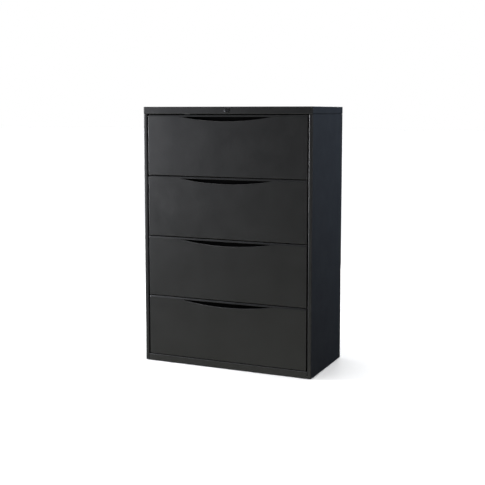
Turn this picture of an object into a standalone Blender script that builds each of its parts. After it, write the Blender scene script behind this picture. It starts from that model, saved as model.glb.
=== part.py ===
"""Four-drawer lateral filing cabinet in black powder-coated sheet steel.

Metres, +Z up. The origin is on the floor under the middle of the cabinet's box, the front looks
along -Y and +X is the right-hand side seen from the front. Every piece of the case hangs from the
empty "cabinet". Each drawer, pair of middle slide members, levelling glide and lock piece has an
empty on its own axis of motion.
"""

import math

import bmesh
import bpy
from mathutils import Matrix, Vector

# Overall size of the cabinet, with the lock's bezel and the glides.
WIDTH = 0.9144
DEPTH_OF_CASE = 0.4572
HEIGHT = 1.316
BEZEL_PROUD = 0.002
FRONT = -(DEPTH_OF_CASE - BEZEL_PROUD) / 2
BACK = FRONT + DEPTH_OF_CASE
CASE_BOTTOM = 0.003

# Sheet metal.
SHEET = 0.0012
HALF_SHEET = SHEET / 2
BEND = 0.002
BEND_STEPS = 2
FIT = 0.0004
SEAM = 0.001

# Front elevation, from the top down.
DRAWERS = 4
TOP_RAIL = 0.03625
FRONT_GAP = 0.0035
DRAWER_PITCH = 0.310
DRAWER_HEIGHT = DRAWER_PITCH - FRONT_GAP
BOTTOM_RAIL_TOP = HEIGHT - TOP_RAIL - FRONT_GAP - DRAWERS * DRAWER_PITCH
POST = 0.0195
POST_GAP = 0.0065
POST_RETURN = 0.025
REAR_FLANGE = 0.016
CAP_RIM = 0.009

# Base.
PAN_TOP = 0.030
PAN_SKIRT = 0.024
PAN_FRONT = FRONT + 0.027
PAN_REAR = BACK - 0.017
GLIDE_INSET = 0.060
GLIDE_RADIUS = 0.019
GLIDE_BASE = 0.007
GLIDE_HEX = 0.0098
GLIDE_HEX_TOP = 0.013
GLIDE_STEM = 0.005
GLIDE_TOP = 0.044
GLIDE_HOLE = 0.0056
WEIGHT_WIDTH = 0.760
WEIGHT_DEPTH = 0.070
WEIGHT_HEIGHT = 0.019

# Uprights that carry the slides.
UPRIGHT_WEB = 0.4360
UPRIGHT_WIDTH = 0.040
UPRIGHT_FRONT = FRONT + 0.042
UPRIGHT_REAR = BACK - 0.070
UPRIGHT_TOP = HEIGHT - 0.040

# Ball-bearing slides: three nested members on each side of a drawer.
SLIDE_FRONT = FRONT + 0.040
SLIDE_REAR = BACK - 0.030
SLIDE_RISE = 0.080
OUTER_HEIGHT, OUTER_FLANGE = 0.045, 0.0110
MIDDLE_HEIGHT, MIDDLE_FLANGE = 0.037, 0.0070
INNER_HEIGHT, INNER_FLANGE = 0.029, 0.0065
OUTER_BACK = UPRIGHT_WEB - FIT
MIDDLE_BACK = OUTER_BACK - 0.0034
SLIDE_BEND = 0.0012

# Drawers.
FRONT_RECESS = 0.001
FRONT_DEPTH = 0.028
FRONT_RIM = 0.014
FRONT_HALF_WIDTH = WIDTH / 2 - POST - POST_GAP
TRAY_HALF_WIDTH = 0.4227
TRAY_FRONT = FRONT + FRONT_RECESS + FRONT_DEPTH + 0.001
TRAY_REAR = BACK - 0.022
TRAY_BOTTOM = 0.012
TRAY_HEIGHT = 0.250
TRAY_RIM = 0.009
HANG_RAIL_REACH = 0.315
HANG_RAIL_DEPTH = 0.010
HANG_RAIL_HEIGHT = 0.013

# Crescent finger pull.
PULL_WIDTH = 0.500
PULL_DROP = 0.021
PULL_LIP = 0.0105
PULL_STEPS = 16
CUP_HALF_WIDTH = 0.262
CUP_HEIGHT = 0.043
CUP_DEPTH = 0.022

# Lock and its linkage, with depths counted back from the face of the top rail.
LOCK_HEIGHT = HEIGHT - TOP_RAIL / 2
LOCK_X = 0.012
BEZEL_RADIUS = 0.014
HOUSING_RADIUS = 0.0095
HOUSING_BORE = 0.0066
HOUSING_REAR = 0.0220
PLUG_RADIUS = 0.0062
PLUG_FACE = -0.0014
PLUG_REAR = 0.0226
TAIL_RADIUS = 0.003
TAIL_REAR = 0.0256
KEYWAY = (0.0016, 0.0030, 0.0078)
CAM_FRONT = 0.0230
CAM_THICKNESS = 0.002
CAM_HOLE = 0.0034
CAM_HUB = 0.0070
CAM_END = 0.0042
CAM_REACH = 0.011
CAM_REST_TURN = math.radians(45)
PIN_RADIUS = 0.002
PIN_REAR = 0.0300
LINK_FRONT = 0.0262
LINK_THICKNESS = 0.0025
LINK_TOP, LINK_BOTTOM = -0.0035, -0.0165
LINK_RIGHT = 0.032
LINK_TIP = -0.4375
LINK_SLOT = 0.0053
BAR_OUTER, BAR_INNER = -0.4455, -0.4400
HEAD_INNER = -0.4325
HEAD_BOTTOM = -0.020
WEDGE_GAP = 0.0006
FINGER_DROP = 0.032
FINGER_HEIGHT = 0.010
BAR_BOTTOM = 0.070

ROUND_STEPS = 24
CUTTER_REACH = 0.01


def clear_scene():
    for old in list(bpy.data.objects):
        bpy.data.objects.remove(old, do_unlink=True)


def collection(name):
    made = bpy.data.collections.new(name)
    bpy.context.scene.collection.children.link(made)
    return made


def finish(name, colour, roughness, metallic):
    made = bpy.data.materials.new(name)
    made.use_nodes = True
    shader = made.node_tree.nodes["Principled BSDF"]
    shader.inputs["Base Color"].default_value = (*colour, 1)
    shader.inputs["Roughness"].default_value = roughness
    shader.inputs["Metallic"].default_value = metallic
    return made


def axis_empty(name, place):
    made = bpy.data.objects.new(name, None)
    made.empty_display_size = 0.03
    made.location = place
    PARTS.objects.link(made)
    return made


def add(name, mesh, coat, parent, place=(0, 0, 0)):
    made = bpy.data.objects.new(name, mesh)
    made.data.materials.clear()
    made.data.materials.append(coat)
    made.parent = parent
    made.location = place
    PARTS.objects.link(made)
    return made


def add_cutter(name, mesh, place, parent):
    made = bpy.data.objects.new(name, mesh)
    made.parent = parent
    made.location = place
    made.hide_render = True
    made.display_type = "WIRE"
    CUTTERS.objects.link(made)
    return made


def boolean(target, other, operation="DIFFERENCE"):
    step = target.modifiers.new(operation.lower(), "BOOLEAN")
    step.operation = operation
    step.object = other
    step.solver = "EXACT"


def bend_and_thicken(piece, bend):
    rounding = piece.modifiers.new("bend", "BEVEL")
    rounding.width = bend
    rounding.segments = BEND_STEPS
    rounding.limit_method = "ANGLE"
    rounding.angle_limit = math.radians(30)
    shell = piece.modifiers.new("sheet", "SOLIDIFY")
    shell.thickness = SHEET
    shell.offset = 0
    shell.use_even_offset = True


def mesh_from(name, bm):
    mesh = bpy.data.meshes.new(name)
    bm.to_mesh(mesh)
    bm.free()
    return mesh


def bent_sheet(name, path, plane, start, end, coat, parent, bend=BEND):
    """Sheet whose section follows path, on its middle surface, and runs across plane from start to end."""
    order = {"XY": (0, 1, 2), "XZ": (0, 2, 1), "YZ": (2, 0, 1)}[plane]

    def placed(u, v, w):
        return Vector([(u, v, w)[index] for index in order])

    bm = bmesh.new()
    corners = [bm.verts.new(placed(u, v, start)) for u, v in path]
    edges = [bm.edges.new(pair) for pair in zip(corners, corners[1:])]
    swept = bmesh.ops.extrude_edge_only(bm, edges=edges)["geom"]
    far_side = [item for item in swept if isinstance(item, bmesh.types.BMVert)]
    bmesh.ops.translate(bm, verts=far_side, vec=placed(0, 0, end - start))
    made = add(name, mesh_from(name, bm), coat, parent)
    bend_and_thicken(made, bend)
    return made


def cube_mesh(name, low, high, open_towards=None, rim=0):
    """Box between two corners. With open_towards it loses that wall, and rim turns the edge there inwards."""
    low, high = Vector(low), Vector(high)
    bm = bmesh.new()
    place = Matrix.Translation((low + high) / 2) @ Matrix.Diagonal((*(high - low), 1))
    bmesh.ops.create_cube(bm, size=1, matrix=place)
    if open_towards:
        lid = max(bm.faces, key=lambda face: face.normal.dot(Vector(open_towards)))
        if rim:
            bmesh.ops.inset_individual(bm, faces=[lid], thickness=rim)
        bmesh.ops.delete(bm, geom=[lid], context="FACES_ONLY")
    return mesh_from(name, bm)


def sheet_box(name, low, high, open_towards, rim, coat, parent):
    """Folded box with five walls. low and high are its outer corners."""
    inset = Vector([HALF_SHEET] * 3)
    low, high = Vector(low) + inset, Vector(high) - inset
    made = add(name, cube_mesh(name, low, high, open_towards, rim), coat, parent)
    bend_and_thicken(made, BEND)
    return made


def rod_mesh(name, radius, bottom, top, steps=ROUND_STEPS, along="Z"):
    bm = bmesh.new()
    turn = Matrix.Rotation(math.radians(-90), 4, "X") if along == "Y" else Matrix()
    lift = Matrix.Translation((0, 0, (bottom + top) / 2))
    bmesh.ops.create_cone(
        bm, cap_ends=True, segments=steps, radius1=radius, radius2=radius,
        depth=top - bottom, matrix=turn @ lift,
    )
    return mesh_from(name, bm)


def turned(name, profile, coat, parent):
    """Solid of revolution about the Y axis: profile is a closed loop of (radius, depth), or starts and ends on the axis."""
    closed = profile[0][0] > 0
    mesh = bpy.data.meshes.new(name)
    edges = [(i, i + 1) for i in range(len(profile) - 1)]
    if closed:
        edges.append((len(profile) - 1, 0))
    mesh.from_pydata([(radius, depth, 0) for radius, depth in profile], edges, [])
    made = add(name, mesh, coat, parent)
    spin = made.modifiers.new("turn", "SCREW")
    spin.axis = "Y"
    spin.steps = ROUND_STEPS
    spin.render_steps = ROUND_STEPS
    spin.use_merge_vertices = True
    spin.merge_threshold = 0.00001
    spin.use_normal_calculate = True
    return made


def plate_mesh(name, outline, front, thickness, hole=()):
    """Flat plate in the XZ plane, with its front face at depth front and an optional hole in it."""
    curve = bpy.data.curves.new(name, "CURVE")
    curve.dimensions = "2D"
    curve.fill_mode = "BOTH"
    curve.extrude = thickness / 2
    for loop in (outline, hole):
        if loop:
            spline = curve.splines.new("POLY")
            spline.points.add(len(loop) - 1)
            for point, (x, z) in zip(spline.points, loop):
                point.co = (x, z, 0, 1)
            spline.use_cyclic_u = True
    flat = bpy.data.objects.new(name, curve)
    CUTTERS.objects.link(flat)
    bpy.context.view_layer.update()
    mesh = bpy.data.meshes.new_from_object(flat.evaluated_get(bpy.context.evaluated_depsgraph_get()))
    bpy.data.objects.remove(flat, do_unlink=True)
    bpy.data.curves.remove(curve)
    stand_up = Matrix.Translation((0, front + thickness / 2, 0)) @ Matrix.Rotation(math.radians(90), 4, "X")
    mesh.transform(stand_up)
    bm = bmesh.new()
    bm.from_mesh(mesh)
    bmesh.ops.remove_doubles(bm, verts=bm.verts, dist=0.000001)
    bmesh.ops.recalc_face_normals(bm, faces=bm.faces)
    bm.to_mesh(mesh)
    bm.free()
    mesh.name = name
    return mesh


def arc(centre_x, centre_z, radius, start, end, steps):
    angles = [start + (end - start) * i / steps for i in range(steps + 1)]
    return [(centre_x + radius * math.cos(a), centre_z + radius * math.sin(a)) for a in angles]


def drawer_bottom(number):
    """Height of the lower edge of a drawer's front, counted from 1 at the top."""
    return HEIGHT - TOP_RAIL - number * DRAWER_PITCH


def make_case(case):
    side_x = WIDTH / 2
    cap = sheet_box(
        "top_cap", (-side_x, FRONT, HEIGHT - TOP_RAIL), (side_x, BACK, HEIGHT),
        (0, 0, -1), CAP_RIM, BLACK, case,
    )
    lock_hole = rod_mesh("lock_hole", HOUSING_RADIUS + FIT, -CUTTER_REACH, CUTTER_REACH, along="Y")
    boolean(cap, add_cutter("lock_hole", lock_hole, (LOCK_X, FRONT, LOCK_HEIGHT), case))

    panel_top = HEIGHT - TOP_RAIL - SEAM
    front_skin, rear_skin = FRONT + HALF_SHEET, BACK - HALF_SHEET
    for name, side in (("side_panel_left", -1), ("side_panel_right", 1)):
        post_x = side * (side_x - POST + HALF_SHEET)
        wall_x = side * (side_x - HALF_SHEET)
        path = [
            (post_x, FRONT + POST_RETURN), (post_x, front_skin), (wall_x, front_skin),
            (wall_x, rear_skin), (side * (side_x - REAR_FLANGE), rear_skin),
        ]
        bent_sheet(name, path, "XY", CASE_BOTTOM, panel_top, BLACK, case)

    back_half = side_x - REAR_FLANGE - SEAM
    low_edge, high_edge = CASE_BOTTOM + HALF_SHEET, panel_top - HALF_SHEET
    back_path = [
        (BACK - 0.015, low_edge), (rear_skin, low_edge),
        (rear_skin, high_edge), (BACK - 0.012, high_edge),
    ]
    bent_sheet("back_panel", back_path, "YZ", -back_half, back_half, BLACK, case)

    rail_half = side_x - POST - FIT
    rail_top = BOTTOM_RAIL_TOP - HALF_SHEET
    rail_path = [
        (FRONT + POST_RETURN, low_edge), (front_skin, low_edge),
        (front_skin, rail_top), (FRONT + POST_RETURN, rail_top),
    ]
    bent_sheet("base_rail", rail_path, "YZ", -rail_half, rail_half, BLACK, case)

    pan_half = side_x - SHEET - SEAM
    pan = sheet_box(
        "bottom_pan", (-pan_half, PAN_FRONT, PAN_TOP - PAN_SKIRT), (pan_half, PAN_REAR, PAN_TOP),
        (0, 0, -1), 0, BLACK, case,
    )
    stem_hole = rod_mesh("stem_hole", GLIDE_HOLE, -CUTTER_REACH, CUTTER_REACH)
    for name, x, y in glide_places():
        boolean(pan, add_cutter(f"{name}_hole", stem_hole, (x, y, PAN_TOP), case))

    weight_rear = UPRIGHT_REAR + UPRIGHT_WIDTH
    weight = add(
        "counterweight",
        cube_mesh(
            "counterweight",
            (-WEIGHT_WIDTH / 2, weight_rear - WEIGHT_DEPTH, PAN_TOP + FIT),
            (WEIGHT_WIDTH / 2, weight_rear, PAN_TOP + FIT + WEIGHT_HEIGHT),
        ),
        RAW_STEEL, case,
    )
    edge = weight.modifiers.new("edge", "BEVEL")
    edge.width = 0.0015
    edge.segments = 1


def make_uprights(case):
    flange_x = WIDTH / 2 - SHEET - SEAM
    web_x = UPRIGHT_WEB + HALF_SHEET
    for row, near in (("front", UPRIGHT_FRONT), ("rear", UPRIGHT_REAR)):
        far = near + UPRIGHT_WIDTH
        for hand, side in (("left", -1), ("right", 1)):
            path = [
                (side * flange_x, near), (side * web_x, near),
                (side * web_x, far), (side * flange_x, far),
            ]
            name = f"upright_{row}_{hand}"
            bent_sheet(name, path, "XY", PAN_TOP + FIT, UPRIGHT_TOP, ZINC, case, SLIDE_BEND)


def channel(name, back, flange, height, side, mouth, coat, parent, centre):
    """Slide member: a web at back, its flanges reaching towards mouth, on the given side of the cabinet."""
    half = height / 2 - HALF_SHEET
    web = side * (back - mouth * HALF_SHEET)
    tip = side * (back - mouth * flange)
    path = [(tip, centre - half), (web, centre - half), (web, centre + half), (tip, centre + half)]
    bent_sheet(name, path, "XZ", SLIDE_FRONT, SLIDE_REAR, coat, parent, SLIDE_BEND)


def make_slides(number, case, drawer):
    """Outer members on the case, middle members on their own axis, inner members on the drawer."""
    centre = drawer_bottom(number) + TRAY_BOTTOM + SLIDE_RISE
    middle = axis_empty(f"slide_middle_{number}_axis", (0, SLIDE_FRONT, centre))
    for hand, side in (("left", -1), ("right", 1)):
        channel(
            f"slide_outer_{number}_{hand}", OUTER_BACK, OUTER_FLANGE, OUTER_HEIGHT,
            side, 1, ZINC, case, centre,
        )
        channel(
            f"slide_middle_{number}_{hand}", MIDDLE_BACK, MIDDLE_FLANGE, MIDDLE_HEIGHT,
            side, 1, ZINC, None, centre,
        )
        channel(
            f"slide_inner_{number}_{hand}", TRAY_HALF_WIDTH + FIT, INNER_FLANGE, INNER_HEIGHT,
            side, -1, ZINC, None, centre,
        )
        hang_from(bpy.data.objects[f"slide_middle_{number}_{hand}"], middle)
        hang_from(bpy.data.objects[f"slide_inner_{number}_{hand}"], drawer)


def hang_from(piece, axis):
    """Parents a piece that was modelled in place, and puts its origin on the axis."""
    piece.data.transform(Matrix.Translation(-axis.location))
    piece.parent = axis


def pull_outline():
    """Crescent: a straight top edge, and below it one shallow arc from tip to tip."""
    radius = PULL_WIDTH**2 / (8 * PULL_DROP) + PULL_DROP / 2
    half_angle = math.asin(PULL_WIDTH / 2 / radius)
    down = math.radians(-90)
    return arc(0, radius - PULL_DROP, radius, down - half_angle, down + half_angle, PULL_STEPS)


def make_drawer(number, drawer):
    """Folded front with its finger pull, and the tray behind it. Places are counted from the drawer's axis."""
    face = FRONT_RECESS
    front = sheet_box(
        f"drawer_front_{number}",
        (-FRONT_HALF_WIDTH, face, 0), (FRONT_HALF_WIDTH, face + FRONT_DEPTH, DRAWER_HEIGHT),
        (0, 1, 0), FRONT_RIM, BLACK, drawer,
    )
    pull_height = DRAWER_HEIGHT - PULL_LIP
    cutter = plate_mesh(f"pull_cutter_{number}", pull_outline(), face - CUTTER_REACH / 2, CUTTER_REACH)
    boolean(front, add_cutter(f"pull_cutter_{number}", cutter, (0, 0, pull_height), drawer))

    cup_front = face + SHEET + FIT
    cup_top = DRAWER_HEIGHT - SHEET - FIT
    sheet_box(
        f"pull_cup_{number}",
        (-CUP_HALF_WIDTH, cup_front, cup_top - CUP_HEIGHT),
        (CUP_HALF_WIDTH, cup_front + CUP_DEPTH, cup_top),
        (0, -1, 0), 0, BLACK, drawer,
    )
    sheet_box(
        f"drawer_tray_{number}",
        (-TRAY_HALF_WIDTH, TRAY_FRONT - FRONT, TRAY_BOTTOM),
        (TRAY_HALF_WIDTH, TRAY_REAR - FRONT, TRAY_BOTTOM + TRAY_HEIGHT),
        (0, 0, 1), TRAY_RIM, BLACK, drawer,
    )
    rail_front = TRAY_FRONT - FRONT + HANG_RAIL_REACH
    rail_rear = rail_front + HANG_RAIL_DEPTH
    rail_low = TRAY_BOTTOM + TRAY_HEIGHT + FIT
    rail_high = rail_low + HANG_RAIL_HEIGHT
    rail_path = [(rail_front, rail_low), (rail_front, rail_high), (rail_rear, rail_high), (rail_rear, rail_low)]
    rail_half = TRAY_HALF_WIDTH - SHEET
    bent_sheet(f"hang_rail_{number}", rail_path, "YZ", -rail_half, rail_half, ZINC, drawer)


def glide_places():
    x = WIDTH / 2 - GLIDE_INSET
    rows = (("front", FRONT + GLIDE_INSET), ("rear", BACK - GLIDE_INSET))
    hands = (("left", -x), ("right", x))
    return [(f"glide_{row}_{hand}", gx, gy) for row, gy in rows for hand, gx in hands]


def make_glides():
    """Levelling glides: a round foot, a hexagon for the spanner and a threaded stem in one piece."""
    for name, x, y in glide_places():
        axis = axis_empty(f"{name}_axis", (x, y, 0))
        glide = add(name, rod_mesh(name, GLIDE_RADIUS, 0, GLIDE_BASE), DARK_PLASTIC, axis)
        edge = glide.modifiers.new("edge", "BEVEL")
        edge.width = 0.0012
        edge.segments = 1
        edge.limit_method = "ANGLE"
        overlap = 0.001
        nut = rod_mesh(f"{name}_hex", GLIDE_HEX, GLIDE_BASE - overlap, GLIDE_HEX_TOP, 6)
        stem = rod_mesh(f"{name}_stem", GLIDE_STEM, GLIDE_BASE - overlap, GLIDE_TOP, 16)
        boolean(glide, add_cutter(f"{name}_hex", nut, (0, 0, 0), axis), "UNION")
        boolean(glide, add_cutter(f"{name}_stem", stem, (0, 0, 0), axis), "UNION")


def make_lock(case):
    """Cylinder lock in the top rail. Its cam pushes a link sideways, and the link's wedge lowers the bar."""
    plug_axis = axis_empty("lock_plug_axis", (LOCK_X, FRONT, LOCK_HEIGHT))
    lip = 0.0006
    housing_profile = [
        (HOUSING_BORE, HOUSING_REAR), (HOUSING_BORE, -BEZEL_PROUD), (BEZEL_RADIUS - lip, -BEZEL_PROUD),
        (BEZEL_RADIUS, -BEZEL_PROUD + lip), (BEZEL_RADIUS, -FIT), (HOUSING_RADIUS, -FIT),
        (HOUSING_RADIUS, HOUSING_REAR),
    ]
    housing = turned("lock_housing", housing_profile, LOCK_BLACK, case)
    housing.location = plug_axis.location

    plug_profile = [
        (0, TAIL_REAR), (TAIL_RADIUS, TAIL_REAR), (TAIL_RADIUS, PLUG_REAR),
        (PLUG_RADIUS, PLUG_REAR), (PLUG_RADIUS, PLUG_FACE), (0, PLUG_FACE),
    ]
    plug = turned("lock_plug", plug_profile, LOCK_BLACK, plug_axis)
    wide, deep, tall = KEYWAY
    keyway = cube_mesh(
        "keyway", (-wide / 2, PLUG_FACE - deep, -tall / 2), (wide / 2, PLUG_FACE + deep, tall / 2)
    )
    boolean(plug, add_cutter("keyway", keyway, (0, 0, 0), plug_axis))

    make_cam(plug_axis)
    make_link()
    make_bar()


def make_cam(plug_axis):
    """Cam on the plug's tail, pointing down to the right at rest, with the pin that drives the link."""
    taper = math.asin((CAM_HUB - CAM_END) / CAM_REACH)
    quarter = math.radians(90)
    hub = arc(0, 0, CAM_HUB, taper, 2 * quarter - taper, 10)
    end = arc(0, -CAM_REACH, CAM_END, 2 * quarter - taper, 4 * quarter + taper, 8)
    hole = arc(0, 0, CAM_HOLE, 0, 4 * quarter, 16)[:-1]
    plate = plate_mesh("lock_cam", hub + end, CAM_FRONT, CAM_THICKNESS, hole)
    turn = Matrix.Rotation(-CAM_REST_TURN, 4, "Y")
    plate.transform(turn)
    cam = add("lock_cam", plate, ZINC, plug_axis)
    pin = rod_mesh("cam_pin", PIN_RADIUS, CAM_FRONT + CAM_THICKNESS / 2, PIN_REAR, 12, "Y")
    place = turn @ Vector((0, 0, -CAM_REACH))
    boolean(cam, add_cutter("cam_pin", pin, place, plug_axis), "UNION")


def make_link():
    """Flat link behind the top rail, from the cam to the left post, with a 45 degree wedge at its tip."""
    tip_drop = LINK_TOP - LINK_BOTTOM
    outline = [
        (LINK_TIP, LINK_TOP), (LINK_TIP + tip_drop, LINK_BOTTOM),
        (LINK_RIGHT, LINK_BOTTOM), (LINK_RIGHT, LINK_TOP),
    ]
    slot_x = LOCK_X + CAM_REACH * math.sin(CAM_REST_TURN)
    low, high = LINK_BOTTOM + 0.0022, LINK_TOP - 0.0016
    half = LINK_SLOT / 2
    slot = [(slot_x - half, low), (slot_x + half, low), (slot_x + half, high), (slot_x - half, high)]
    axis = axis_empty("lock_link_axis", (0, FRONT, LOCK_HEIGHT))
    add("lock_link", plate_mesh("lock_link", outline, LINK_FRONT, LINK_THICKNESS, slot), ZINC, axis)


def make_bar():
    """Bar inside the left post, with a head under the link's wedge and a finger beside each drawer."""
    axis = axis_empty("lock_bar_axis", (BAR_OUTER, FRONT, LOCK_HEIGHT))
    wedge_line = LINK_TIP + LINK_TOP - WEDGE_GAP
    outline = [
        (BAR_OUTER, LINK_TOP), (wedge_line - LINK_TOP, LINK_TOP),
        (HEAD_INNER, wedge_line - HEAD_INNER), (HEAD_INNER, HEAD_BOTTOM), (BAR_INNER, HEAD_BOTTOM),
    ]
    for number in range(1, DRAWERS + 1):
        top = drawer_bottom(number) + DRAWER_HEIGHT - FINGER_DROP - LOCK_HEIGHT
        low = top - FINGER_HEIGHT
        outline += [(BAR_INNER, top), (HEAD_INNER, top), (HEAD_INNER, low), (BAR_INNER, low)]
    outline += [(BAR_INNER, BAR_BOTTOM - LOCK_HEIGHT), (BAR_OUTER, BAR_BOTTOM - LOCK_HEIGHT)]
    mesh = plate_mesh("lock_bar", outline, LINK_FRONT, LINK_THICKNESS)
    mesh.transform(Matrix.Translation((-BAR_OUTER, 0, 0)))
    add("lock_bar", mesh, ZINC, axis)


clear_scene()
PARTS = collection("lateral_file_cabinet")
CUTTERS = collection("cutters")

BLACK = finish("black_powder_coat", (0.030, 0.031, 0.034), 0.42, 0.0)
ZINC = finish("zinc_plated_steel", (0.52, 0.53, 0.55), 0.32, 1.0)
RAW_STEEL = finish("raw_steel", (0.16, 0.155, 0.15), 0.55, 0.8)
LOCK_BLACK = finish("black_plated_lock", (0.10, 0.10, 0.11), 0.30, 1.0)
DARK_PLASTIC = finish("black_nylon", (0.02, 0.02, 0.02), 0.5, 0.0)

cabinet = axis_empty("cabinet", (0, 0, 0))
make_case(cabinet)
make_uprights(cabinet)
for index in range(1, DRAWERS + 1):
    drawer_axis = axis_empty(f"drawer_{index}_axis", (0, FRONT, drawer_bottom(index)))
    make_drawer(index, drawer_axis)
    make_slides(index, cabinet, drawer_axis)
make_glides()
make_lock(cabinet)

for piece in PARTS.objects:
    if piece.type == "MESH" and piece.name.startswith(("glide", "lock_housing", "lock_plug")):
        piece.data.shade_smooth()
        piece.data.set_sharp_from_angle(angle=math.radians(35))
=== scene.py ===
"""Looks of the four-drawer lateral filing cabinet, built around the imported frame. Metres throughout."""

import math

import bmesh
import bpy
from mathutils import Matrix, Vector


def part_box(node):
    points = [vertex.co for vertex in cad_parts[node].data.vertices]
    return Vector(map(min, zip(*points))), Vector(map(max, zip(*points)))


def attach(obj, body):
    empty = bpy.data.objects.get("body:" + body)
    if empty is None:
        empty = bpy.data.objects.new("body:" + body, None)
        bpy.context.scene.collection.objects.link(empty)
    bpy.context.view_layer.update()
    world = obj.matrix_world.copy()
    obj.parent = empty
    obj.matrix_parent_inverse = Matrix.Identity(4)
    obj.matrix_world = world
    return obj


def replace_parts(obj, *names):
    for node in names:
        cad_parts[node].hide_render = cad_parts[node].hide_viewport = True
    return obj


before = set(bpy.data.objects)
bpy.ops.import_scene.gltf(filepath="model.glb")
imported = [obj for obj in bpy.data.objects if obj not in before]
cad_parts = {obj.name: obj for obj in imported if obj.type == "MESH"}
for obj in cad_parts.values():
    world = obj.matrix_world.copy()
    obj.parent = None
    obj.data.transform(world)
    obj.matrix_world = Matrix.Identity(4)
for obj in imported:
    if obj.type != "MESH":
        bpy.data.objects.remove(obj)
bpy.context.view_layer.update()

DRAWERS = range(1, 5)
HANDS = ("left", "right")

# Sheet metal.
SHEET = 0.0012
PAINTED_BEND = 0.0028
SIDE_BEND = 0.0040
SMALL_BEND = 0.002
SHEARED_EDGE = 0.28
CAP_RIM = 0.009
LOCK_HOLE = 0.0099
BEND_STEPS = 5
SHARP = math.radians(38)

# Crescent pull in each drawer front.
PULL_WIDTH = 0.500
PULL_DROP = 0.0215
PULL_LIP = 0.0105
PULL_COLUMNS = 56
PULL_FLANGE = 0.0085
PULL_ROLL = 0.0042
LIP_HEM = 0.0016
LIP_LEAN = 0.0032
FRONT_RIM = 0.014
FRONT_EDGE = 0.0022
FACE_ROWS = 6
ROLL_STEPS = 5
HEM_STEPS = 3
LIP_ROWS = 4

# Back sheet: let in so that its rivets and beads don't stand proud of the flanges.
RIVET = 0.0032
RIVET_DOME = 0.36
BACK_INSET = 0.0013
BACK_BEADS = 6
BACK_BEAD_WIDTH = 0.022
BACK_BEAD_STEP = 0.1246

# Drawer trays and slides.
TRAY_RIM = 0.009
TRAY_BEADS = 7
TRAY_BEAD_STEP = 0.111
BALLS = 16
BALL_STEP = 0.0105
RETAINER_LENGTH = 0.17

# Levelling glides.
STEM = 0.0046
HEX = 0.0098
THREAD_PITCH = 0.0015


# --- Node trees -------------------------------------------------------------------------------


class Tree:
    """A node tree under construction. add() makes a node from its type, settings and input values."""

    def __init__(self, tree):
        self.tree = tree

    def add(self, kind, settings=None, **inputs):
        node = self.tree.nodes.new(kind)
        for key, value in (settings or {}).items():
            setattr(node, key, value)
        for key, value in inputs.items():
            self.feed(node, key.replace("_", " "), value)
        return node

    def feed(self, node, name, value):
        """Sets or links an input, found by its index or by its name without regard to case."""
        if isinstance(name, int):
            socket = node.inputs[name]
        else:
            found = [s for s in node.inputs if s.name.lower() == name.lower() and s.enabled]
            socket = found[0]
        if isinstance(value, bpy.types.Node):
            value = next(s for s in value.outputs if s.enabled)
        if isinstance(value, bpy.types.NodeSocket):
            self.tree.links.new(value, socket)
        else:
            socket.default_value = value


def blank_material(name):
    """A material with its Principled shader, and the object's own coordinates."""
    made = bpy.data.materials.new(name)
    made.use_nodes = True
    tree = Tree(made.node_tree)
    shader = made.node_tree.nodes["Principled BSDF"]
    place = tree.add("ShaderNodeTexCoord").outputs["Object"]
    return made, tree, shader, place


def noise(tree, place, scale, detail=3.0, roughness=0.55, stretch=None):
    if stretch:
        place = tree.add("ShaderNodeMapping", None, Vector=place, Scale=stretch)
    return tree.add(
        "ShaderNodeTexNoise", None, Vector=place, Scale=scale, Detail=detail, Roughness=roughness
    ).outputs[0]


def remap(tree, value, low, high, start=0.3, end=0.7):
    """value from start to end, as a number from low to high."""
    return tree.add(
        "ShaderNodeMapRange", None, Value=value, From_Min=start, From_Max=end, To_Min=low, To_Max=high
    ).outputs[0]


def blend_colours(tree, factor, first, second):
    node = tree.add("ShaderNodeMix", {"data_type": "RGBA"})
    for index, value in ((0, factor), (6, first), (7, second)):
        tree.feed(node, index, value if isinstance(value, (float, bpy.types.NodeSocket)) else (*value, 1))
    return node.outputs[2]


def stack_bumps(tree, shader, layers):
    """layers are (height socket, depth in metres, strength), the coarsest first."""
    normal = None
    for height, depth, strength in layers:
        bump = tree.add("ShaderNodeBump", None, Height=height, Distance=depth, Strength=strength)
        if normal:
            tree.feed(bump, "Normal", normal)
        normal = bump.outputs[0]
    tree.feed(shader, "Normal", normal)


# --- Finishes ---------------------------------------------------------------------------------


def powder_coat(name, dark, light, smooth, rough):
    """Baked powder coat: a fine orange peel over sheet that is never quite flat, thinner on the bends."""
    made, tree, shader, place = blank_material(name)
    cloud = noise(tree, place, 5.0, 4.0)
    grain = noise(tree, place, 900.0, 2.0, 0.6)
    peel = noise(tree, place, 240.0, 2.0, 0.5)
    sheet = noise(tree, place, 3.2, 1.0, 0.4)
    worn = tree.add("ShaderNodeAttribute", {"attribute_name": "bend"}).outputs["Fac"]
    colour = blend_colours(tree, remap(tree, cloud, 0.0, 1.0), dark, light)
    fleck = remap(tree, grain, 0.0, 0.35, 0.55, 0.8)
    colour = blend_colours(tree, fleck, colour, tuple(2.2 * c for c in light))
    thin = tree.add("ShaderNodeMath", {"operation": "MULTIPLY"})
    tree.feed(thin, 0, worn)
    tree.feed(thin, 1, remap(tree, noise(tree, place, 60.0), 0.0, 0.5, 0.35, 0.75))
    colour = blend_colours(tree, thin.outputs[0], colour, tuple(3.0 * c for c in light))
    tree.feed(shader, "Base Color", colour)
    smear = noise(tree, place, 9.0, 5.0, 0.6)
    tree.feed(shader, "Roughness", remap(tree, smear, smooth, rough))
    stack_bumps(tree, shader, [(sheet, 0.004, 0.06), (peel, 0.00025, 0.16), (grain, 0.00008, 0.22)])
    return made


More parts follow.
